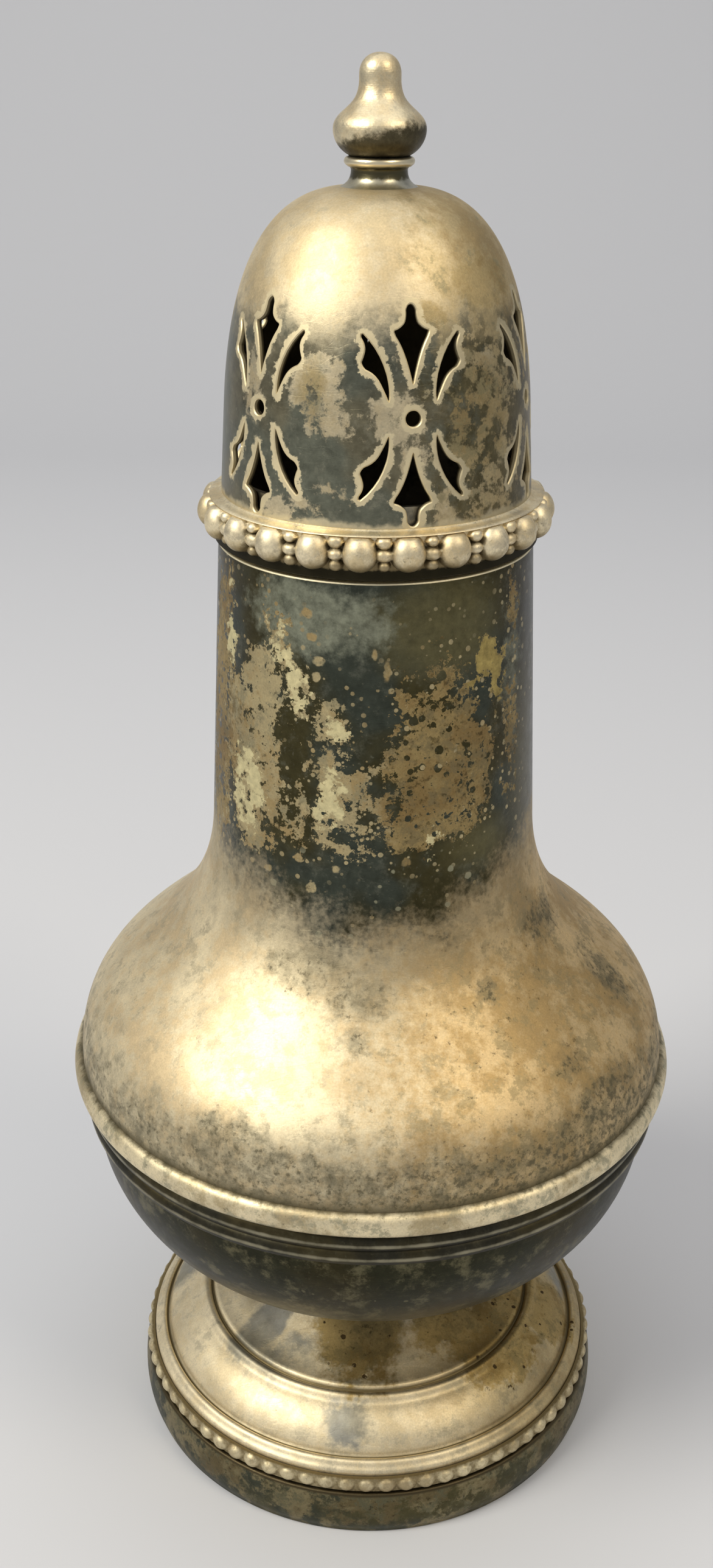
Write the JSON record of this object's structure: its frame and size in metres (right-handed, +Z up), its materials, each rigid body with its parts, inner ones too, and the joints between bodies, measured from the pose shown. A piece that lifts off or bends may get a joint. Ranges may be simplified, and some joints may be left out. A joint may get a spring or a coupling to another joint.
{
  "type": "condiment shaker",
  "caption": "Baluster caster with a round belly on a domed, beaded foot, and a pierced domed cap with a turned finial that lifts off the neck.",
  "frame": {"origin": "centre of the ring that the foot rests on", "axes": "+Z up along the axis that the pieces are turned about; -Y towards the side that the picture shows; +X to its right"},
  "size_m": [0.079, 0.079, 0.178],
  "materials": {
    "warm_silver": "silver plate gone champagne, satin with tarnish islands",
    "dark_silver": "silver plate under dark olive and blue-grey tarnish",
    "worn_plate": "silver plate worn and browned in the hollows",
    "bare_brass": "unpolished brass"
  },
  "bodies": {
    "body": {"foot_skirt": "worn_plate", "foot_wire": "worn_plate", "foot_beads": "worn_plate", "foot_dome": "warm_silver", "lower_bowl": "dark_silver", "reeded_band": "dark_silver", "girdle_wire": "warm_silver", "upper_body": "warm_silver"},
    "cap": {"cap_sleeve": "worn_plate", "cap_shell": "warm_silver", "cap_border": "warm_silver", "finial_collar": "dark_silver", "finial_knop": "warm_silver", "finial_stud": "bare_brass", "finial_washer": "bare_brass", "finial_nut": "bare_brass"}
  },
  "joints": [
    {"name": "cap_lift", "type": "slide", "parent": "body", "child": "cap", "axis": [0, 0, 1], "range_m": [0, 0.04]}
  ]
}
